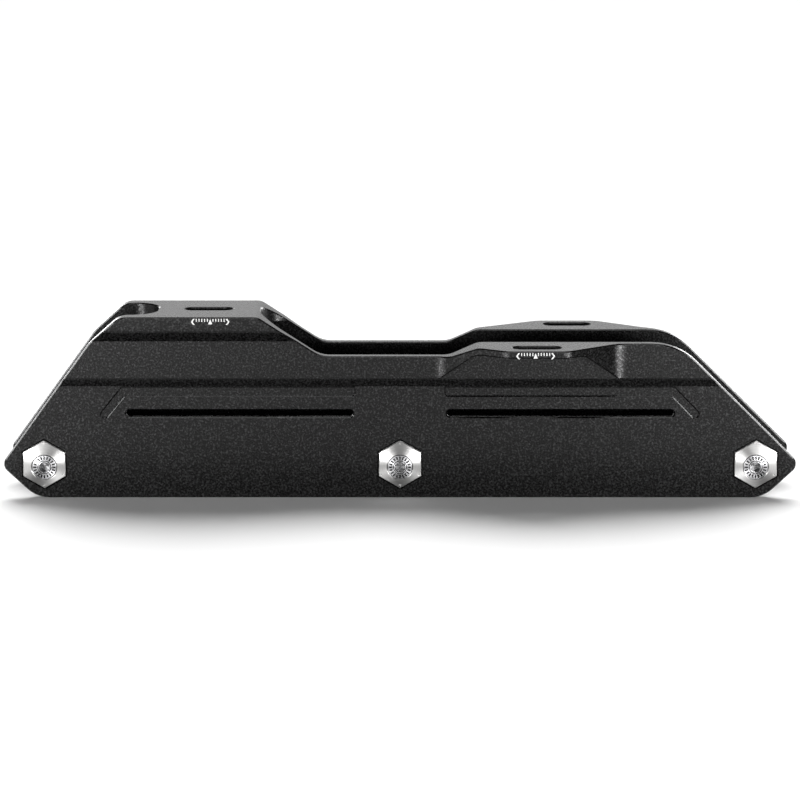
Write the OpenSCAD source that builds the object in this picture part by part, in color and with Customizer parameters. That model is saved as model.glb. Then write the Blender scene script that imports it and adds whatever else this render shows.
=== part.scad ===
// Three-wheel inline skate frame: one milled aluminium extrusion with a raised rear deck,
// two winged front pads, and three screw axles held in pairs of eccentric hexagonal inserts.
// X runs from heel to toe, Y from the outer to the inner side, Z up from the lower edge.

/* [Wheels and axles] */
// Distance between the centres of the first and last axle
wheelbase = 290; // [270:1:320]
// Diameter of the largest wheel
wheel_d = 110; // [100:1:114]
// Free space round the wheel where the webs are milled away
wheel_gap = 3; // [1:0.5:5]
// Distance between the bearing lands of a pair of inserts
hub_w = 24; // [23:0.25:25]
// Diameter of the axle shaft
axle_d = 8; // [7:0.25:8.5]
// Diameter of the axle head
head_d = 10; // [9.5:0.25:11.5]
// Thickness of the axle head
head_t = 2.2; // [1.5:0.1:2.8]
// Depth of the head below the face of its insert
head_sink = 0.3; // [0.1:0.1:0.8]
// Width across the flats of the key socket
key_af = 4; // [3:0.5:5]
// Depth of the key socket
key_depth = 3.5; // [2:0.5:6]
// Pitch diameter of the axle thread
thread_d = 7.4; // [6:0.1:7.6]
// Chamfer at the tip of the axle
tip_chamfer = 0.8; // [0.4:0.1:1.2]

/* [Inserts] */
// Width across the flats of an insert
hex_af = 17.1; // [15:0.1:18]
// Height of the insert centres above the lower edge
hex_h = 14; // [12:0.5:18]
// Offset of the axle below the centre of its inserts
axle_offset = 1.25; // [0.5:0.05:1.5]
// How far an insert stands out of the wall
insert_proud = 0.5; // [0.2:0.1:1.5]
// Thickness of the pocket floor that an insert seats on
floor_t = 1; // [0.6:0.1:1.6]
// Diameter of the round boss behind the hexagon
boss_d = 14.5; // [13.5:0.25:14.75]
// Diameter of the land that meets the wheel bearing
land_d = 11; // [9.5:0.25:11.25]
// Clearance round the hexagon of an insert in its pocket
pocket_gap = 0.2; // [0.1:0.05:0.4]
// Clearance on each side of a slip fit
slip_gap = 0.05; // [0.02:0.01:0.1]
// Clearance on each side of the axle head in its counterbore
head_gap = 0.2; // [0.1:0.05:0.3]

/* [Body section] */
// Width of the wheel channel between the side walls
channel_w = 26; // [25:0.25:27]
// Width over the lower walls
low_w = 32; // [31:0.25:33]
// Width over the middle walls
mid_w = 34; // [33:0.25:35]
// Width of the rear deck
deck_w = 38; // [36:0.5:42]
// Height of the top edge of the lower walls
low_h = 46.5; // [46.4:0.1:48]
// Height of the bottom edge of the middle walls
mid_h = 49.7; // [49:0.1:51]
// Height of the edge where the walls start to widen to the deck
flare_h = 65.25; // [62:0.25:67]
// Height of the lower edge of the deck's side faces
brow_h = 69.4; // [68:0.1:72]
// Height of the rear deck
deck_h = 75.5; // [74:0.25:80]
// Thickness of the rear deck
deck_t = 8; // [5:0.25:9]
// Height of the underside of the webs between the wheels
web_h = 46; // [42:0.5:48]
// Thickness of the webs between the wheels
web_t = 4; // [3:0.5:6]

/* [Side outline] */
// Reach of each tip beyond its axle
tip_reach = 16.4; // [14:0.2:22]
// Radius of the tips
tip_r = 4; // [3:0.5:6]
// Lean of the rear edge from the vertical, in degrees
rear_rake = 36; // [30:1:40]
// Lean of the front edge from the vertical, in degrees
front_rake = 45.2; // [40:0.2:48]
// Slope of the lower corners from the horizontal, in degrees
keel_rake = 43.5; // [38:0.5:48]
// Radius where the lower corners meet the lower edge
keel_r = 13; // [8:0.5:16]
// Height where the rear edge bends forward to the deck
heel_h = 64.2; // [60:0.2:68]
// Slope of the rear end of the deck, in degrees
heel_slope = 42; // [36:1:48]
// Radius where the rear edge bends forward
heel_r = 14; // [6:1:20]
// Radius at the rear end of the deck
deck_rear_r = 8.5; // [4:0.5:10]
// Position of the front end of the deck
deck_front_x = -57.4; // [-60:0.2:-54]
// Radius at the front end of the deck
deck_front_r = 5; // [2:0.5:8]
// Slope of the ramp in front of the deck, in degrees
ramp_slope = 33; // [30:1:40]
// Radius at the foot of the ramp
ramp_r = 12; // [6:1:16]
// Height of the wall tops between the deck and the front pads
saddle_h = 59.1; // [56:0.1:61]
// Height of the front pads
pad_h = 64.3; // [63:0.1:66]
// Position of the rear end of the front pads
pad_rear_x = 31.5; // [28:0.5:34]
// Slope of the rise to the front pads, in degrees
rise_slope = 24; // [18:1:32]
// Radius at the foot of the rise
rise_foot_r = 10; // [5:1:14]
// Radius at the top of the rise
rise_top_r = 8; // [4:1:12]
// Radius where the front pads meet the front edge
brow_r = 26; // [12:1:30]

/* [Deck openings] */
// Position of the closed end of the rear notch
notch_x = -98.6; // [-104:0.2:-96]
// Corner radius of the rear notch
notch_r = 10.5; // [3:0.5:12]
// Position of the deck's open end in the channel
deck_end_x = -56.8; // [-60:0.2:-54]
// Corner radius at the open end of the deck
deck_corner_r = 10.5; // [2:0.5:12]

/* [Mount slots] */
// Width of the mount slots
slot_w = 6.8; // [5.2:0.2:8]
// Length of the mount slots
slot_l = 19.5; // [14:0.5:22]
// Position of the rear slot
rear_slot_x = -78; // [-80:0.5:-76]
// Position of the outer front slot
outer_slot_x = 55; // [53:0.5:57]
// Position of the inner front slot
inner_slot_x = 69.5; // [68:0.5:72]
// Distance between the two front slots across the frame
slot_gauge = 50; // [48:0.5:52]
// Room round the rear slot for its bolt head and key in the web below
key_room = 3; // [2:0.25:3.5]

/* [Front wings] */
// Width over the two wings
wing_w = 66; // [64:0.5:70]
// Thickness of the outer edge of the wings
wing_t = 3; // [2:0.25:4]
// Length of the straight outer edge of a wing
wing_edge_l = 24.5; // [23:0.5:28]
// Corner radius of the wings
wing_r = 8; // [3:0.5:10]
// Angle of a wing's rear flank to the wall, in degrees
rear_flank_angle = 31; // [30:1:40]
// Angle of a wing's front flank to the wall, in degrees
front_flank_angle = 37; // [36:1:44]
// Radius where the flanks run into the wall
flank_r = 11; // [5:1:14]
// Slope of the pocket ends under a wing, in degrees
gusset_slope = 39; // [34:1:46]
// Radius between the pocket ends and the underside of a wing
gusset_r = 7; // [3:0.5:9]

/* [Side slots and recesses] */
// Height of the middle of the long side slots
vent_h = 35.15; // [33:0.05:38]
// Width of the long side slots
vent_w = 2.9; // [2:0.1:4]
// Distance from the middle axle to a side slot
vent_inner = 19; // [16:0.5:26]
// Distance from an end axle to a side slot
vent_outer = 33.7; // [30:0.1:40]
// Depth of the bracket-shaped recesses
recess_d = 0.6; // [0.3:0.1:1]
// Height of the lower edge of the recess strip
recess_low_h = 42.6; // [41:0.1:44]
// Height of the upper edge of the recess strip
recess_top_h = 45.9; // [45:0.1:46.3]
// Distance from the middle axle to a recess
recess_inner = 18.5; // [16:0.5:26]
// Corner radius of the recesses
recess_r = 1.2; // [0.5:0.1:1.5]
// Width of the slanted leg of a recess
leg_w = 2.8; // [2.5:0.1:3.5]
// Distance from an end axle to the round end of a leg
leg_reach = 25.15; // [22:0.1:28]
// Height of the round end of a leg
leg_h = 34.95; // [33:0.1:38]
// Lean of the rear legs from the vertical, in degrees
rear_leg_lean = 39; // [34:1:44]
// Lean of the front legs from the vertical, in degrees
front_leg_lean = 44; // [38:1:48]

/* [Hidden] */
$fn = 96;
black = "#202022";
silver = "#c9c8c4";
steel = "#b4b5b8";
over = 1;                                // how far cutting shapes run past a face
rear_x = -wheelbase / 2;
middle_x = 0;
front_x = wheelbase / 2;
axle_h = hex_h - axle_offset;
end_x = wheelbase / 2 + tip_reach;
seat_y = channel_w / 2 + floor_t;        // pocket floors, from the middle plane
face_y = low_w / 2 + insert_proud;       // outer faces of the inserts
head_y = face_y - head_sink;             // outer face of the axle head
shoulder_y = head_y - head_t;            // seat of the axle head
wheel_room_r = wheel_d / 2 + wheel_gap;
deck_under_h = deck_h - deck_t;
wing_reach = (wing_w - mid_w) / 2;
wing_rear_x = -wing_edge_l / 2 - wing_reach / tan(rear_flank_angle);
wing_front_x = wing_edge_l / 2 + wing_reach / tan(front_flank_angle);

// Lines in a plane are held as [normal, distance], a corner as [x, y, radius].
function unit(v) = v / norm(v);
function meet(a, b) =
    let (det = a[0].x * b[0].y - a[0].y * b[0].x)
    [(a[1] * b[0].y - b[1] * a[0].y) / det, (a[0].x * b[1] - b[0].x * a[1]) / det];
function level(h) = [[0, 1], h];
function tangent(centre, r, normal) = [normal, normal * centre + r];
function corner(p, r) = [p.x, p.y, r];

// The two tangents of a tip: a leaning edge above it and a sloping corner below it.
function tip_centre(side) = [side * (end_x - tip_r), hex_h];
function upper_edge(side, rake) = tangent(tip_centre(side), tip_r, [side * cos(rake), sin(rake)]);
function lower_edge(side) =
    tangent(tip_centre(side), tip_r, [side * sin(keel_rake), -cos(keel_rake)]);

rear_upper = upper_edge(-1, rear_rake);
front_upper = upper_edge(1, front_rake);
heel = meet(rear_upper, level(heel_h));
heel_normal = [-sin(heel_slope), cos(heel_slope)];
heel_edge = [heel_normal, heel_normal * heel];
ramp_foot_x = deck_front_x + (deck_h - saddle_h) / tan(ramp_slope);
rise_foot_x = pad_rear_x - (pad_h - saddle_h) / tan(rise_slope);

side_outline = [
    corner(meet(lower_edge(-1), level(0)), keel_r),
    corner(meet(lower_edge(1), level(0)), keel_r),
    corner(meet(lower_edge(1), front_upper), tip_r),
    corner(meet(front_upper, level(pad_h)), brow_r),
    [pad_rear_x, pad_h, rise_top_r],
    [rise_foot_x, saddle_h, rise_foot_r],
    [ramp_foot_x, saddle_h, ramp_r],
    [deck_front_x, deck_h, deck_front_r],
    corner(meet(heel_edge, level(deck_h)), deck_rear_r),
    corner(heel, heel_r),
    corner(meet(lower_edge(-1), rear_upper), tip_r)
];

// Outline through corners given counter-clockwise, each one rounded to its own radius.
module rounded(corners) {
    n = len(corners);
    at = [for (c = corners) [c.x, c.y]];
    back = [for (i = [0:n - 1]) unit(at[(i + n - 1) % n] - at[i])];
    ahead = [for (i = [0:n - 1]) unit(at[(i + 1) % n] - at[i])];
    half = [for (i = [0:n - 1]) acos(back[i] * ahead[i]) / 2];
    convex = [for (i = [0:n - 1]) cross(ahead[i], back[i]) > 0];
    difference() {
        union() {
            polygon([for (i = [0:n - 1]) each corners[i].z == 0 ? [at[i]] : [
                at[i] + back[i] * corners[i].z / tan(half[i]),
                at[i] + ahead[i] * corners[i].z / tan(half[i])
            ]]);
            for (i = [0:n - 1])
                if (corners[i].z > 0 && convex[i])
                    translate(at[i] + unit(back[i] + ahead[i]) * corners[i].z / sin(half[i]))
                        circle(r = corners[i].z);
        }
        for (i = [0:n - 1])
            if (corners[i].z > 0 && !convex[i])
                translate(at[i] + unit(back[i] + ahead[i]) * corners[i].z / sin(half[i]))
                    circle(r = corners[i].z);
    }
}

// A drawing in the YZ plane, run along X.
module along_x(length) {
    rotate([90, 0, 90]) linear_extrude(length, center = true) children();
}

// A drawing in the XZ plane, run across the frame between two distances from the middle plane.
module along_y(from, to) {
    translate([0, to, 0]) rotate([90, 0, 0]) linear_extrude(to - from) children();
}

module slot_2d(length, width) {
    square([length - width, width], center = true);
    for (side = [-1, 1])
        translate([side * (length - width) / 2, 0]) circle(d = width);
}

// A hexagon with one corner up.
module hex_2d(af) {
    rotate(90) circle(d = af / cos(30), $fn = 6);
}

// The stepped section over both walls, filled from side to side.
module wall_section() {
    for (side = [0, 1])
        mirror([side, 0])
            polygon([
                [0, -over], [low_w / 2, -over], [low_w / 2, low_h], [mid_w / 2, mid_h],
                [mid_w / 2, flare_h], [deck_w / 2, brow_h], [deck_w / 2, deck_h + over],
                [0, deck_h + over]
            ]);
}

// A wing on the inner side: a block cut to its plan and milled hollow from the side, so that a
// plate for the bolt and a wedge under each flank are left.
module wing(slot_x) {
    root_y = mid_w / 2 - over;
    under_h = pad_h - wing_t;
    gusset_l = (under_h - mid_h) / tan(gusset_slope);
    mouth_l = over / tan(gusset_slope);
    translate([slot_x, 0, 0]) difference() {
        translate([0, 0, mid_h]) linear_extrude(pad_h - mid_h + over) rounded([
            [wing_rear_x - flank_r, root_y, 0], [wing_front_x + flank_r, root_y, 0],
            [wing_front_x + flank_r, mid_w / 2, 0], [wing_front_x, mid_w / 2, flank_r],
            [wing_edge_l / 2, wing_w / 2, wing_r], [-wing_edge_l / 2, wing_w / 2, wing_r],
            [wing_rear_x, mid_w / 2, flank_r], [wing_rear_x - flank_r, mid_w / 2, 0]
        ]);
        along_y(mid_w / 2, wing_w / 2 + over) rounded([
            [wing_rear_x - mouth_l, mid_h - over, 0], [wing_front_x + mouth_l, mid_h - over, 0],
            [wing_front_x - gusset_l, under_h, gusset_r],
            [wing_rear_x + gusset_l, under_h, gusset_r]
        ]);
    }
}

// The wheel channel: open below the webs, open above them, with the wheels' own room between.
module channel() {
    along_y(-channel_w / 2, channel_w / 2) {
        translate([-end_x - over, -over]) square([2 * (end_x + over), web_h + over]);
        translate([-end_x - over, web_h + web_t])
            square([2 * (end_x + over), deck_under_h - web_h - web_t]);
        for (x = [rear_x, middle_x, front_x])
            translate([x, axle_h]) circle(r = wheel_room_r);
    }
    deck_opening(-end_x - over, notch_x, 0, notch_r);
    deck_opening(deck_end_x, end_x + over, deck_corner_r, 0);
}

// An opening through the deck between two positions, with its closed corners rounded.
module deck_opening(from_x, to_x, from_r, to_r) {
    translate([0, 0, deck_under_h - over]) linear_extrude(deck_t + 2 * over) rounded([
        [from_x, -channel_w / 2, from_r], [to_x, -channel_w / 2, to_r],
        [to_x, channel_w / 2, to_r], [from_x, channel_w / 2, from_r]
    ]);
}

// Pockets for one pair of inserts, with the round holes behind them.
module insert_pockets(x) {
    translate([x, 0, hex_h]) {
        for (side = [0, 1])
            mirror([0, side, 0])
                along_y(seat_y, face_y + over) hex_2d(hex_af + 2 * pocket_gap);
        along_y(-seat_y - over, seat_y + over) circle(d = boss_d + 2 * slip_gap);
    }
}

// The three slots for the mounting bolts, and the key opening in the web below the rear one.
module mount_slots() {
    for (at = [[rear_slot_x, 0], [outer_slot_x, -slot_gauge / 2], [inner_slot_x, slot_gauge / 2]])
        translate([at.x, at.y, mid_h + web_t]) linear_extrude(deck_h) slot_2d(slot_l, slot_w);
    translate([rear_slot_x, 0, web_h - over]) linear_extrude(web_t + 2 * over)
        slot_2d(slot_l + 2 * key_room, slot_w + 2 * key_room);
}

// Long slots through both walls, between the wheels.
module side_slots() {
    vent_l = wheelbase / 2 - vent_inner - vent_outer;
    for (side = [0, 1])
        mirror([side, 0, 0])
            translate([vent_inner + vent_l / 2, 0, vent_h])
                along_y(-deck_w / 2, deck_w / 2) slot_2d(vent_l, vent_w);
}

// One recess on the front half: a strip under the wall's step and a leg slanting down from it.
module recess_2d(lean) {
    along = [sin(lean), -cos(lean)];
    across = [cos(lean), sin(lean)];
    leg_end = [front_x - leg_reach, leg_h];
    outer = tangent(leg_end, leg_w / 2, across);
    inner = tangent(leg_end, -leg_w / 2, across);
    foot = tangent(leg_end, leg_w / 2, along);
    rounded([
        [recess_inner, recess_low_h, recess_r],
        corner(meet(inner, level(recess_low_h)), recess_r),
        corner(meet(inner, foot), recess_r),
        corner(meet(outer, foot), recess_r),
        corner(meet(outer, level(recess_top_h)), 0),
        [recess_inner, recess_top_h, 0]
    ]);
}

module recesses() {
    for (side = [0, 1])
        mirror([0, side, 0])
            along_y(low_w / 2 - recess_d, mid_w / 2 + over) {
                recess_2d(front_leg_lean);
                mirror([1, 0]) recess_2d(rear_leg_lean);
            }
}

module frame_body() {
    color(black) difference() {
        intersection() {
            along_y(-wing_w / 2 - over, wing_w / 2 + over) rounded(side_outline);
            union() {
                along_x(2 * (end_x + over)) wall_section();
                wing(inner_slot_x);
                mirror([0, 1, 0]) wing(outer_slot_x);
            }
        }
        channel();
        for (x = [rear_x, middle_x, front_x])
            insert_pockets(x);
        mount_slots();
        side_slots();
        recesses();
    }
}

// An insert seen on the inner side: hexagon, boss, and a land round the axle.
module insert_blank() {
    along_y(seat_y, face_y) hex_2d(hex_af);
    along_y(channel_w / 2, seat_y + over) circle(d = boss_d);
    along_y(hub_w / 2, seat_y) translate([0, -axle_offset]) circle(d = land_d);
}

// The outer insert lets the axle through and takes its head in a counterbore.
module outer_insert(x) {
    color(silver) translate([x, 0, hex_h]) mirror([0, 1, 0]) difference() {
        insert_blank();
        translate([0, 0, -axle_offset]) {
            along_y(0, face_y + over) circle(d = axle_d + 2 * slip_gap);
            along_y(shoulder_y, face_y + over) circle(d = head_d + 2 * head_gap);
        }
    }
}

// The inner insert is the nut of the axle.
module inner_insert(x) {
    color(silver) translate([x, 0, hex_h]) difference() {
        insert_blank();
        translate([0, 0, -axle_offset])
            along_y(0, face_y + over) circle(d = thread_d + 2 * slip_gap);
    }
}

// A one-piece axle: head with key socket, plain shaft and threaded end, turned about its length.
module axle(x) {
    shaft_end = hub_w / 2;
    tip_y = low_w / 2;
    color(steel) translate([x, 0, axle_h]) difference() {
        rotate([-90, 0, 0]) rotate_extrude() polygon([
            [0, -head_y], [head_d / 2, -head_y], [head_d / 2, -shoulder_y],
            [axle_d / 2, -shoulder_y], [axle_d / 2, shaft_end], [thread_d / 2, shaft_end],
            [thread_d / 2, tip_y - tip_chamfer], [thread_d / 2 - tip_chamfer, tip_y], [0, tip_y]
        ]);
        along_y(-head_y - over, -head_y + key_depth) hex_2d(key_af);
    }
}

module rear_axle() { axle(rear_x); }
module middle_axle() { axle(middle_x); }
module front_axle() { axle(front_x); }
module rear_outer_insert() { outer_insert(rear_x); }
module middle_outer_insert() { outer_insert(middle_x); }
module front_outer_insert() { outer_insert(front_x); }
module rear_inner_insert() { inner_insert(rear_x); }
module middle_inner_insert() { inner_insert(middle_x); }
module front_inner_insert() { inner_insert(front_x); }

frame_body();
rear_axle();
middle_axle();
front_axle();
rear_outer_insert();
middle_outer_insert();
front_outer_insert();
rear_inner_insert();
middle_inner_insert();
front_inner_insert();
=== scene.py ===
# Inline skate frame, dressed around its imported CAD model: a black milled body with printed
# scales, and three screw axles in pairs of hexagonal inserts, on a pale floor in soft light.
import math

import bmesh
import bpy
from mathutils import Matrix, Vector


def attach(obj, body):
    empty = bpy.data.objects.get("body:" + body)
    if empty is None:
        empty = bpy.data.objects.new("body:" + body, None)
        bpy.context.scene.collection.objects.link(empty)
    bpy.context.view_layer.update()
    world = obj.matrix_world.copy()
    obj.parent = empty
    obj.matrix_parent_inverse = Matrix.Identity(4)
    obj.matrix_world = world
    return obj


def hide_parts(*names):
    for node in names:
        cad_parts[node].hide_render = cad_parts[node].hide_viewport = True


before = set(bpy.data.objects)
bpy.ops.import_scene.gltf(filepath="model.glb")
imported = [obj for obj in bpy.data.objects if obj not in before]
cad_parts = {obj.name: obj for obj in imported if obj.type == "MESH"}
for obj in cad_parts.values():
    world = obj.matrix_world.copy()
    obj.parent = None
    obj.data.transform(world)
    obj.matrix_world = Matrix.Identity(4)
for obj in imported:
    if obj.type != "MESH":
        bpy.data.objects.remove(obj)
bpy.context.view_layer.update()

# The body: one aluminium extrusion, milled to its outline and bead-blasted, then given a matt
# black coat. A cutter has broken every outer edge, and the coat is smoother there.
MM = 0.001
BODY_EDGE = 0.5 * MM
SHARP_ANGLE = math.radians(14)
FLAT_ANGLE = math.radians(0.3)
WELD_GAP = 0.001 * MM
GRAINS_PER_METRE = 1300.0
SPECK_LEVELS = 0.5, 0.65
PIT_LEVELS = 0.35, 0.65
PIT_DEPTH = 0.08 * MM
COAT_BLACK = 0.0003, 0.0003, 0.0003, 1
COAT_SPECK = 0.036, 0.036, 0.0364, 1
COAT_ROUGHNESS = 0.25, 0.33
COAT_SPECULAR = 0.19
EDGE_ROUGHNESS = 0.2


def chamfered_copy(node, edge_width):
    """A mesh shaped as a CAD node, with its triangles joined and its outer edges broken."""
    bm = bmesh.new()
    bm.from_mesh(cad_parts[node].data)
    broken = bm.faces.layers.float.new("edge")
    bmesh.ops.remove_doubles(bm, verts=bm.verts, dist=WELD_GAP)
    bmesh.ops.dissolve_limit(bm, angle_limit=FLAT_ANGLE, verts=bm.verts, edges=bm.edges)
    outer = [e for e in bm.edges if e.is_convex and e.calc_face_angle() > SHARP_ANGLE]
    rim = bmesh.ops.bevel(bm, geom=outer, offset=edge_width, offset_type="OFFSET",
                          affect="EDGES", segments=1, profile=0.5, material=-1,
                          clamp_overlap=False, loop_slide=False)
    for face in rim["faces"]:
        face[broken] = 1.0
    for edge in bm.edges:
        edge.smooth = edge.calc_face_angle() < SHARP_ANGLE
    return bm


def piece_of(bm, name, material, body):
    """The piece made of a finished bmesh, which rides on a body. Its flat faces stay flat."""
    for face in bm.faces:
        face.smooth = True
    mesh = bpy.data.meshes.new(name)
    bm.to_mesh(mesh)
    bm.free()
    mesh.materials.append(material)
    piece = bpy.data.objects.new(name, mesh)
    flats = piece.modifiers.new("flat_faces", "WEIGHTED_NORMAL")
    flats.keep_sharp = True
    flats.weight = 100
    bpy.context.scene.collection.objects.link(piece)
    graph = bpy.context.evaluated_depsgraph_get()
    finished = bpy.data.meshes.new_from_object(
        piece.evaluated_get(graph), preserve_all_data_layers=True, depsgraph=graph)
    piece.modifiers.clear()
    piece.data = finished
    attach(piece, body)
    return piece


def new_group(name, inputs, outputs):
    """An empty shader node group with named sockets, and its input and output nodes."""
    group = bpy.data.node_groups.new(name, "ShaderNodeTree")
    for label, kind in inputs:
        group.interface.new_socket(label, in_out="INPUT", socket_type=kind)
    for label, kind in outputs:
        group.interface.new_socket(label, in_out="OUTPUT", socket_type=kind)
    return group, group.nodes.new("NodeGroupInput"), group.nodes.new("NodeGroupOutput")


def set_inputs(tree, node, inputs):
    """Set a node's inputs to plain values, or link them to other nodes, by name or number."""
    for key, value in inputs.items():
        if isinstance(value, bpy.types.NodeSocket):
            tree.links.new(value, node.inputs[key])
        else:
            node.inputs[key].default_value = value


def add_node(tree, kind, inputs, **settings):
    """A node with its settings made and its inputs set or linked."""
    node = tree.nodes.new(kind)
    for key, value in settings.items():
        setattr(node, key, value)
    set_inputs(tree, node, inputs)
    return node


def new_material(name):
    """A material with its node tree and its shader."""
    material = bpy.data.materials.new(name)
    material.use_nodes = True
    tree = material.node_tree
    return material, tree, tree.nodes["Principled BSDF"]


# Blasted grain: pits of several sizes, as a mask for bright specks and a height for bump.
grain, grain_in, grain_out = new_group(
    "blasted_grain",
    [("Place", "NodeSocketVector"), ("Grains per metre", "NodeSocketFloat")],
    [("Specks", "NodeSocketFloat"), ("Height", "NodeSocketFloat")])
pits = add_node(grain, "ShaderNodeTexNoise",
                {"Vector": grain_in.outputs["Place"],
                 "Scale": grain_in.outputs["Grains per metre"],
                 "Detail": 2.0, "Roughness": 0.6})
specks = add_node(grain, "ShaderNodeMapRange",
                  {"Value": pits.outputs["Fac"], "From Min": SPECK_LEVELS[0],
                   "From Max": SPECK_LEVELS[1]})
set_inputs(grain, grain_out, {"Specks": specks.outputs["Result"],
                              "Height": pits.outputs["Fac"]})

blasted_black, tree, shader = new_material("blasted_black")
place = tree.nodes.new("ShaderNodeTexCoord").outputs["Object"]
blasting = add_node(tree, "ShaderNodeGroup",
                    {"Place": place, "Grains per metre": GRAINS_PER_METRE}, node_tree=grain)
tint = add_node(tree, "ShaderNodeMix",
                {"Factor": blasting.outputs["Specks"], "A": COAT_BLACK, "B": COAT_SPECK},
                data_type="RGBA")
edge_mask = add_node(tree, "ShaderNodeAttribute", {}, attribute_name="edge")
gloss = add_node(tree, "ShaderNodeMapRange",
                 {"Value": blasting.outputs["Height"],
                  "From Min": PIT_LEVELS[0], "From Max": PIT_LEVELS[1],
                  "To Min": COAT_ROUGHNESS[0], "To Max": COAT_ROUGHNESS[1]})
smoothness = add_node(tree, "ShaderNodeMix",
                      {"Factor": edge_mask.outputs["Fac"], "A": gloss.outputs["Result"],
                       "B": EDGE_ROUGHNESS})
bump = add_node(tree, "ShaderNodeBump",
                {"Height": blasting.outputs["Height"], "Strength": 0.5, "Distance": PIT_DEPTH})
set_inputs(tree, shader, {"Base Color": tint.outputs["Result"],
                          "Metallic": blasting.outputs["Specks"],
                          "Roughness": smoothness.outputs["Result"],
                          "Normal": bump.outputs["Normal"],
                          "Specular IOR Level": COAT_SPECULAR})

body = piece_of(chamfered_copy("frame_body", BODY_EDGE), "frame_body_coated", blasted_black,
                "frame")
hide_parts("frame_body")

# The scales: rows of ticks between two chevrons, printed in white ink on the outer face of the
# deck and on the edge of the outer wing. They show how far a boot is set along its slots.
TICK_STEP = 1.12 * MM
TICKS_A_SIDE = 5
TICK_SIZE = 0.4 * MM, 1.2 * MM
POINTER_SIZE = 1.65 * MM, 2.25 * MM
CHEVRON_SIZE = 1.6 * MM, 2.5 * MM
CHEVRON_STROKE = 0.7 * MM
CHEVRON_REACH = 7.8 * MM
SCALE_DROP = 0.6 * MM
INK_DEPTH = 0.03 * MM
INK_PIT_DEPTH = 0.05 * MM
INK_WHITE = 0.8, 0.8, 0.79, 1
INK_THIN = 0.62, 0.62, 0.61, 1
INK_ROUGHNESS = 0.55
DECK_SIDE_Y = -19 * MM
DECK_TOP_Z = 75.5 * MM
WING_EDGE_Y = -33 * MM
WING_TOP_Z = 64.3 * MM
REAR_SCALE_X = -76.4 * MM
FRONT_SCALE_X = 54.1 * MM

white_ink, tree, shader = new_material("white_ink")
place = tree.nodes.new("ShaderNodeTexCoord").outputs["Object"]
ink_grain = add_node(tree, "ShaderNodeGroup",
                     {"Place": place, "Grains per metre": GRAINS_PER_METRE}, node_tree=grain)
ink_tint = add_node(tree, "ShaderNodeMix",
                    {"Factor": ink_grain.outputs["Specks"], "A": INK_WHITE, "B": INK_THIN},
                    data_type="RGBA")
ink_bump = add_node(tree, "ShaderNodeBump",
                    {"Height": ink_grain.outputs["Height"], "Strength": 0.4,
                     "Distance": INK_PIT_DEPTH})
set_inputs(tree, shader, {"Base Color": ink_tint.outputs["Result"],
                          "Normal": ink_bump.outputs["Normal"], "Roughness": INK_ROUGHNESS})


def printed_scale(name, middle_x, face_y, edge_z):
    """A printed scale on a face that looks along -Y, hung below the face's upper edge."""
    wide, high = TICK_SIZE
    marks = [[(n * TICK_STEP - wide / 2, 0), (n * TICK_STEP + wide / 2, 0),
              (n * TICK_STEP + wide / 2, -high), (n * TICK_STEP - wide / 2, -high)]
             for n in range(-TICKS_A_SIDE, TICKS_A_SIDE + 1) if n]
    wide, high = POINTER_SIZE
    marks.append([(0, 0), (wide / 2, -high), (-wide / 2, -high)])
    wide, high = CHEVRON_SIZE
    arm = wide - CHEVRON_STROKE
    chevron = [(0, -high / 2), (arm, 0), (wide, 0), (CHEVRON_STROKE, -high / 2), (wide, -high),
               (arm, -high)]
    for side in (-1, 1):
        marks.append([(side * (CHEVRON_REACH - x), z) for x, z in chevron])
    bm = bmesh.new()
    for mark in marks:
        bm.faces.new([bm.verts.new((middle_x + x, face_y, edge_z - SCALE_DROP + z))
                      for x, z in mark])
    raised = bmesh.ops.extrude_face_region(bm, geom=bm.faces[:])["geom"]
    raised_verts = [part for part in raised if isinstance(part, bmesh.types.BMVert)]
    bmesh.ops.translate(bm, verts=raised_verts, vec=(0, -INK_DEPTH, 0))
    bmesh.ops.recalc_face_normals(bm, faces=bm.faces)
    for edge in bm.edges:
        edge.smooth = False
    return piece_of(bm, name, white_ink, "frame")


printed_scale("rear_scale_print", REAR_SCALE_X, DECK_SIDE_Y, DECK_TOP_Z)
printed_scale("front_scale_print", FRONT_SCALE_X, WING_EDGE_Y, WING_TOP_Z)

# The inserts: hexagons of aluminium bar, faced in a lathe, with an eccentric hole for the axle and
# a punched dot by each corner. They sit in the pockets of the walls, one pair to an axle.
INSERT_EDGE = 0.18 * MM
HEX_HEIGHT = 14 * MM
HEX_CORNERS = 6
AXLE_SPACING = 145 * MM
STATIONS = {"rear": -AXLE_SPACING, "middle": 0.0, "front": AXLE_SPACING}
DOT_RADIUS = 0.45 * MM
DOT_LIFT = 0.6 * DOT_RADIUS
DOT_CIRCLE = 8.6 * MM
CUT_ANGLE = math.radians(50)
LINES_PER_METRE = 4000.0
LINE_DEPTH = 0.005 * MM
LINE_SPREAD = 0.06
SHADED_CUT = 0.03, 0.03, 0.03, 1
ALUMINIUM_DULL = 0.28, 0.28, 0.276, 1
ALUMINIUM_BRIGHT = 0.46, 0.455, 0.45, 1
ALUMINIUM_ROUGHNESS = 0.38
ALUMINIUM_LEAN = math.radians(10)


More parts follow.
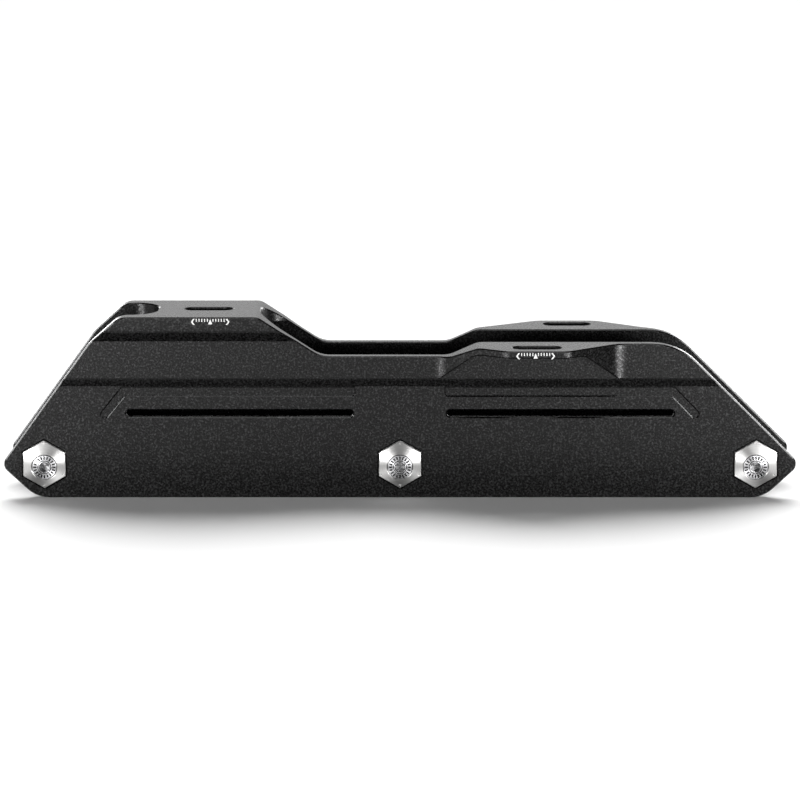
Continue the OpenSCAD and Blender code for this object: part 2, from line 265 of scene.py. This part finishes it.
def cut_from(bm, cutter):
    """The bmesh left when a cutting bmesh is taken out of another. Both are used up."""
    operands = []
    for part in (bm, cutter):
        mesh = bpy.data.meshes.new("operand")
        part.to_mesh(mesh)
        part.free()
        operands.append(bpy.data.objects.new("operand", mesh))
        bpy.context.scene.collection.objects.link(operands[-1])
    cut = operands[0].modifiers.new("cut", "BOOLEAN")
    cut.operation = "DIFFERENCE"
    cut.solver = "EXACT"
    cut.object = operands[1]
    left = bmesh.new()
    left.from_object(operands[0], bpy.context.evaluated_depsgraph_get())
    for operand in operands:
        bpy.data.meshes.remove(operand.data)
    for edge in left.edges:
        if edge.is_manifold and edge.calc_face_angle() > CUT_ANGLE:
            edge.smooth = False
    return left


# Lathe lines: fine rings round the axis of each of the three stations, and along it.
lathe, lathe_in, lathe_out = new_group(
    "lathe_lines",
    [("Place", "NodeSocketVector"), ("Axis height", "NodeSocketFloat"),
     ("Lines per metre", "NodeSocketFloat")],
    [("Line", "NodeSocketFloat"), ("Radius", "NodeSocketFloat")])
spot = add_node(lathe, "ShaderNodeSeparateXYZ", {0: lathe_in.outputs["Place"]})
shifted = add_node(lathe, "ShaderNodeMath", {0: spot.outputs["X"], 1: AXLE_SPACING / 2},
                   operation="ADD")
station = add_node(lathe, "ShaderNodeMath", {0: shifted.outputs[0], 1: AXLE_SPACING},
                   operation="SNAP")
across = add_node(lathe, "ShaderNodeMath", {0: spot.outputs["X"], 1: station.outputs[0]},
                  operation="SUBTRACT")
above = add_node(lathe, "ShaderNodeMath",
                 {0: spot.outputs["Z"], 1: lathe_in.outputs["Axis height"]},
                 operation="SUBTRACT")
from_axis = add_node(lathe, "ShaderNodeCombineXYZ", {0: across.outputs[0], 1: above.outputs[0]})
radius = add_node(lathe, "ShaderNodeVectorMath", {0: from_axis.outputs[0]}, operation="LENGTH")
travel = add_node(lathe, "ShaderNodeMath", {0: radius.outputs["Value"], 1: spot.outputs["Y"]},
                  operation="ADD")
turns = add_node(lathe, "ShaderNodeMath",
                 {0: travel.outputs[0], 1: lathe_in.outputs["Lines per metre"]},
                 operation="MULTIPLY")
lines = add_node(lathe, "ShaderNodeTexNoise",
                 {"W": turns.outputs[0], "Scale": 1.0, "Detail": 2.0}, noise_dimensions="1D")
set_inputs(lathe, lathe_out, {"Line": lines.outputs["Fac"], "Radius": radius.outputs["Value"]})


def turned_metal(name, axis_height, dull, bright, roughness, lean):
    """A metal faced in a lathe, with tool marks that lean outward. Its highlights are wedges."""
    material, tree, shader = new_material(name)
    place = tree.nodes.new("ShaderNodeTexCoord").outputs["Object"]
    rings = add_node(tree, "ShaderNodeGroup",
                     {"Place": place, "Axis height": axis_height,
                      "Lines per metre": LINES_PER_METRE}, node_tree=lathe)
    clean = add_node(tree, "ShaderNodeMix",
                     {"Factor": rings.outputs["Line"], "A": dull, "B": bright},
                     data_type="RGBA")
    cut_mask = add_node(tree, "ShaderNodeAttribute", {}, attribute_name="cut")
    tint = add_node(tree, "ShaderNodeMix",
                    {"Factor": cut_mask.outputs["Fac"], "A": clean.outputs["Result"],
                     "B": SHADED_CUT}, data_type="RGBA")
    dullness = add_node(tree, "ShaderNodeMapRange",
                        {"Value": rings.outputs["Line"], "To Min": roughness + LINE_SPREAD,
                         "To Max": roughness - LINE_SPREAD})
    fall = add_node(tree, "ShaderNodeMath",
                    {0: rings.outputs["Radius"], 1: -math.tan(lean) / LINE_DEPTH,
                     2: rings.outputs["Line"]}, operation="MULTIPLY_ADD")
    grooves = add_node(tree, "ShaderNodeBump",
                       {"Height": fall.outputs[0], "Strength": 1.0, "Distance": LINE_DEPTH})
    around = add_node(tree, "ShaderNodeTangent", {}, direction_type="RADIAL", axis="Y")
    set_inputs(tree, shader, {"Base Color": tint.outputs["Result"],
                              "Roughness": dullness.outputs["Result"],
                              "Normal": grooves.outputs["Normal"],
                              "Tangent": around.outputs["Tangent"],
                              "Metallic": 1.0, "Anisotropic": 0.85,
                              "Anisotropic Rotation": 0.25})
    return material


faced_aluminium = turned_metal("faced_aluminium", HEX_HEIGHT, ALUMINIUM_DULL, ALUMINIUM_BRIGHT,
                               ALUMINIUM_ROUGHNESS, ALUMINIUM_LEAN)

for end, station_x in STATIONS.items():
    for side, outward in (("outer", -1), ("inner", 1)):
        name = f"{end}_{side}_insert"
        blank = chamfered_copy(name, INSERT_EDGE)
        face_y = outward * max(abs(vert.co.y) for vert in blank.verts)
        punch = bmesh.new()
        for corner in range(HEX_CORNERS):
            turn = math.radians(90) + 2 * math.pi * corner / HEX_CORNERS
            dot = Vector((station_x + DOT_CIRCLE * math.cos(turn), face_y + outward * DOT_LIFT,
                          HEX_HEIGHT + DOT_CIRCLE * math.sin(turn)))
            bmesh.ops.create_uvsphere(punch, u_segments=16, v_segments=10, radius=DOT_RADIUS,
                                      matrix=Matrix.Translation(dot))
        insert = piece_of(cut_from(blank, punch), name + "_faced", faced_aluminium, name)
        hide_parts(name)

# The axles: one-piece steel screws, turned, with a head that lies in the outer insert. The head
# has a ring groove and radial notches round its key socket, and the far end is threaded.
AXLE_EDGE = 0.15 * MM
AXLE_HEIGHT = 12.75 * MM
HEAD_FACE_Y = -16.2 * MM
NOTCHES = 20
NOTCH_SIZE = 0.62 * MM, 1.35 * MM, 0.25 * MM
NOTCH_CIRCLE = 3.85 * MM
GROOVE_RADII = 2.5 * MM, 2.85 * MM
GROOVE_DEPTH = 0.25 * MM
CUT_DEPTHS = 0.02 * MM, 1.01 * GROOVE_DEPTH
CUT_RADII = 2.45 * MM, 4.6 * MM
SOCKET_DEPTHS = 0.3 * MM, 4 * MM
SOCKET_RADIUS = 2.4 * MM
SOCKET_SHADE = 0.6
SHAFT_END_Y = 12 * MM
TIP_START_Y = 15.2 * MM
THREAD_PITCH = 1.0 * MM
THREAD_RADII = 3.35 * MM, 3.7 * MM
THREAD_ROOT = 0.05 * MM
THREAD_RUNOUT = 0.7
THREAD_STEPS_A_TURN = 40
FIND_GAP = 0.01 * MM
STEEL_DULL = 0.44, 0.44, 0.45, 1
STEEL_BRIGHT = 0.68, 0.68, 0.69, 1
STEEL_ROUGHNESS = 0.27
STEEL_LEAN = math.radians(2)

turned_steel = turned_metal("turned_steel", AXLE_HEIGHT, STEEL_DULL, STEEL_BRIGHT,
                            STEEL_ROUGHNESS, STEEL_LEAN)


def head_cutter(station_x):
    """The ring groove and the radial notches of an axle head, as solids to cut with."""
    bm = bmesh.new()
    middle = Vector((station_x, HEAD_FACE_Y, AXLE_HEIGHT))
    wide, long, deep = NOTCH_SIZE
    for n in range(NOTCHES):
        turn = Matrix.Rotation(2 * math.pi * n / NOTCHES, 4, "Y")
        block = Matrix.Diagonal((wide, 2 * deep, long, 1))
        bmesh.ops.create_cube(bm, size=1, matrix=Matrix.Translation(middle) @ turn
                              @ Matrix.Translation((0, 0, NOTCH_CIRCLE)) @ block)
    small, large = GROOVE_RADII
    ring = [bm.verts.new(middle + Vector((r, y, 0)))
            for r, y in ((small, -GROOVE_DEPTH), (large, -GROOVE_DEPTH), (large, GROOVE_DEPTH),
                         (small, GROOVE_DEPTH))]
    section = [bm.edges.new((ring[n - 1], ring[n])) for n in range(4)]
    bmesh.ops.spin(bm, geom=ring + section, cent=middle, axis=(0, 1, 0), angle=2 * math.pi,
                   steps=64, use_merge=True)
    bmesh.ops.recalc_face_normals(bm, faces=bm.faces)
    return bm


def shade_cuts(bm, station_x):
    """Mark the faces of the groove and notches as shaded, and those of the key socket less so."""
    shade = bm.faces.layers.float.new("cut")
    middle = Vector((station_x, HEAD_FACE_Y, AXLE_HEIGHT))
    for face in bm.faces:
        out = face.calc_center_median() - middle
        reach = math.hypot(out.x, out.z)
        if CUT_DEPTHS[0] < out.y < CUT_DEPTHS[1] and CUT_RADII[0] < reach < CUT_RADII[1]:
            face[shade] = 1.0
        elif SOCKET_DEPTHS[0] < out.y < SOCKET_DEPTHS[1] and reach < SOCKET_RADIUS:
            face[shade] = SOCKET_SHADE


def add_thread(bm, station_x):
    """Thin the end of a screw to the thread's core, and wind the ridge round it."""
    core, crest = THREAD_RADII
    middle = Vector((station_x, 0, AXLE_HEIGHT))
    for vert in bm.verts:
        out = vert.co - middle
        out.y = 0
        if vert.co.y > SHAFT_END_Y - FIND_GAP and core < out.length < crest + FIND_GAP:
            vert.co += out * (core / out.length - 1)
    turns = (TIP_START_Y - SHAFT_END_Y) / THREAD_PITCH - THREAD_RUNOUT
    start = middle + Vector((0, SHAFT_END_Y, 0))
    root = core - THREAD_ROOT
    flank = [bm.verts.new(start + Vector((r, y * THREAD_PITCH, 0)))
             for r, y in ((root, 0.0), (crest, 0.4), (crest, 0.5), (root, 0.9))]
    section = [bm.edges.new(pair) for pair in zip(flank, flank[1:])]
    steps = round(turns * THREAD_STEPS_A_TURN)
    bmesh.ops.spin(bm, geom=flank + section, cent=start, axis=(0, 1, 0),
                   dvec=(0, turns * THREAD_PITCH / steps, 0), angle=turns * 2 * math.pi,
                   steps=steps)
    bmesh.ops.recalc_face_normals(bm, faces=bm.faces)


for end, station_x in STATIONS.items():
    name = f"{end}_axle"
    screw = cut_from(chamfered_copy(name, AXLE_EDGE), head_cutter(station_x))
    shade_cuts(screw, station_x)
    add_thread(screw, station_x)
    axle = piece_of(screw, name + "_turned", turned_steel, name)
    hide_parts(name)

# The floor: a wide plain sheet of pale, matt card that the frame stands on. It lies a hair below
# the frame's lower edges, so that the two have no plane in common.
FLOOR_HALF = 8.0
FLOOR_DROP = 0.05 * MM
FLOOR_WHITE = 0.88, 0.88, 0.88, 1
pale_floor, tree, shader = new_material("pale_floor")
set_inputs(tree, shader, {"Base Color": FLOOR_WHITE, "Roughness": 0.9,
                          "Specular IOR Level": 0.0})
floor_bm = bmesh.new()
bmesh.ops.create_grid(floor_bm, x_segments=1, y_segments=1, size=FLOOR_HALF)
floor_mesh = bpy.data.meshes.new("floor")
floor_bm.to_mesh(floor_mesh)
floor_bm.free()
floor_mesh.materials.append(pale_floor)
floor = bpy.data.objects.new("floor", floor_mesh)
floor.location.z = -FLOOR_DROP
bpy.context.scene.collection.objects.link(floor)

# The studio: a soft overhead sun for the floor, a white panel behind for the top faces, soft boxes
# and fills on both sides, and small lamps that only draw highlights on corners and broken edges.
MIDDLE = Vector((0, 0, 0.04))
SUN_STRENGTH = 4.2
SUN_SPREAD = math.radians(45)
SUN_TILT = math.radians(-36)
ROOM_GREY = 0.06, 0.06, 0.06, 1


def soft_box(name, place, size, power, shine_only=False):
    """A soft lamp at a place, aimed at the frame. It may show in glossy surfaces alone."""
    lamp = bpy.data.lights.new(name, "AREA")
    lamp.shape = "RECTANGLE"
    lamp.size, lamp.size_y = size
    lamp.energy = power
    box = bpy.data.objects.new(name, lamp)
    box.location = place
    box.rotation_euler = (Vector(place) - MIDDLE).to_track_quat("Z", "Y").to_euler()
    box.visible_camera = False
    box.visible_diffuse = not shine_only
    bpy.context.scene.collection.objects.link(box)


soft_box("back_panel", (0, 1.7, 0.65), (2.6, 1.2), 9.8)
soft_box("left_soft_box", (-0.56, -0.82, 0.24), (0.35, 0.35), 2.2)
soft_box("right_soft_box", (0.56, -0.82, 0.24), (0.35, 0.35), 2.2)
soft_box("left_fill", (-0.32, -0.96, 0.09), (0.3, 0.16), 1.3)
soft_box("right_fill", (0.32, -0.96, 0.09), (0.3, 0.16), 2.0)
soft_box("left_low_box", (-0.64, -0.9, 0.035), (0.26, 0.06), 11, shine_only=True)
soft_box("right_low_box", (0.74, -0.82, 0.035), (0.26, 0.06), 18.5, shine_only=True)
soft_box("far_left_fill", (-0.5, 0.87, 0.12), (0.4, 0.2), 1.8)
soft_box("far_right_fill", (0.5, 0.87, 0.12), (0.4, 0.2), 1.8)
soft_box("left_edge_lamp", (-1.1, -0.06, 0.57), (0.2, 0.5), 9, shine_only=True)
soft_box("right_edge_lamp", (1.05, -0.1, 0.64), (0.2, 0.5), 9, shine_only=True)
soft_box("top_lamp", (0, -0.28, 1.25), (0.9, 0.25), 3.0, shine_only=True)

sun_lamp = bpy.data.lights.new("overhead", "SUN")
sun_lamp.energy = SUN_STRENGTH
sun_lamp.angle = SUN_SPREAD
overhead = bpy.data.objects.new("overhead", sun_lamp)
overhead.rotation_euler = (SUN_TILT, 0, 0)
bpy.context.scene.collection.objects.link(overhead)

room = bpy.data.worlds.new("studio")
room.use_nodes = True
room.node_tree.nodes["Background"].inputs["Color"].default_value = ROOM_GREY
bpy.context.scene.world = room
bpy.context.scene.view_settings.view_transform = "Standard"

# The cards: two black sheets that show in the coat's reflections alone, as painted dark
# reflections. One stands beside the wing's front flank; one lies before the foot, below the sloped
# bands, as painted shade in what they reflect. They cast no shadow.
REFLECTED_BLACK = 0.004, 0.004, 0.004, 1
SIDE_CARD = (0.27, -0.16, 0), (0.27, -0.02, 0), (0.27, -0.02, 0.06), (0.27, -0.16, 0.06)
FOOT_CARD = ((-0.165, -0.07, 0.0003), (0.165, -0.07, 0.0003), (0.165, -0.02, 0.0003),
             (-0.165, -0.02, 0.0003))
# Painted dark reflection: a black that only glossy reflections show, never the camera or diffuse
# light.
painted_dark_reflection, tree, shader = new_material("painted_dark_reflection")
set_inputs(tree, shader, {"Base Color": REFLECTED_BLACK, "Specular IOR Level": 0.0})


def dark_reflection_sheet(name, corners):
    """A flat black sheet that shows in glossy surfaces alone: a painted dark reflection."""
    card_bm = bmesh.new()
    card_bm.faces.new([card_bm.verts.new(corner) for corner in corners])
    card_mesh = bpy.data.meshes.new(name)
    card_bm.to_mesh(card_mesh)
    card_bm.free()
    card_mesh.materials.append(painted_dark_reflection)
    card = bpy.data.objects.new(name, card_mesh)
    card.visible_camera = False
    card.visible_diffuse = False
    card.visible_shadow = False
    bpy.context.scene.collection.objects.link(card)


# Painted dark reflections: one beside the flank, one as painted shade before the foot.
dark_reflection_sheet("side_dark_reflection", SIDE_CARD)
dark_reflection_sheet("foot_dark_reflection", FOOT_CARD)

# The camera: square on to the outer side and a little above it, through a long lens, so that the
# far wall shows behind the near one as a narrow strip.
LOOK_AT = Vector((0, -0.016, 0.0408))
CAMERA_RISE = math.radians(12.4)
CAMERA_DISTANCE = 1.24
FIELD_WIDTH = 0.3246
camera_data = bpy.data.cameras.new("camera")
camera_data.lens = camera_data.sensor_width * CAMERA_DISTANCE / FIELD_WIDTH
camera = bpy.data.objects.new("camera", camera_data)
camera.location = LOOK_AT + CAMERA_DISTANCE * Vector(
    (0, -math.cos(CAMERA_RISE), math.sin(CAMERA_RISE)))
camera.rotation_euler = (math.radians(90) - CAMERA_RISE, 0, 0)
bpy.context.scene.collection.objects.link(camera)
bpy.context.scene.camera = camera
